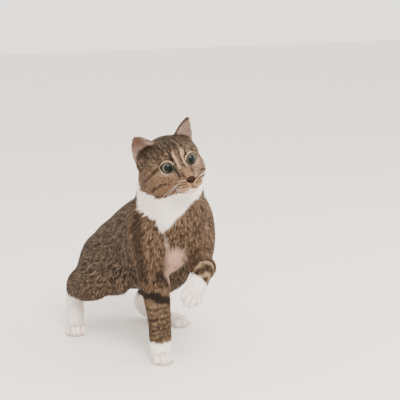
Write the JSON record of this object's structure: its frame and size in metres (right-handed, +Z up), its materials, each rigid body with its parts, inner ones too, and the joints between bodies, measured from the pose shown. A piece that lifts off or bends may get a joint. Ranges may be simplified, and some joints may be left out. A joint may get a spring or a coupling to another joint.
{
  "type": "cat",
  "caption": "Life-size short-haired tabby-and-white cat, half crouched with one forepaw lifted and the head on one side, as a still model.",
  "frame": {"origin": "middle of the cat's bounding box, on the floor it stands on", "axes": "+Z up, -Y the way the cat faces, +X to the cat's left"},
  "size_m": [0.287, 0.5048, 0.3882],
  "materials": {
    "coat": "short grey-brown tabby coat",
    "white_coat": "short white coat",
    "ear": "thin skin with fine short hair",
    "nose": "matt, finely grained",
    "eye": "clear and wet"
  },
  "bodies": {
    "root": {"chest": "coat", "ear_left": "ear", "ear_right": "ear", "eye_left": "eye", "eye_right": "eye", "foreleg_left": "coat", "foreleg_right": "coat", "forepaw_left": "white_coat", "forepaw_right": "white_coat", "head": "coat", "hindfoot_left": "white_coat", "hindfoot_right": "white_coat", "hindleg_left": "coat", "hindleg_right": "coat", "neck": "coat", "nose": "nose", "tail_base": "coat", "tail_middle": "coat", "tail_tip": "coat", "trunk": "coat"}
  },
  "joints": []
}
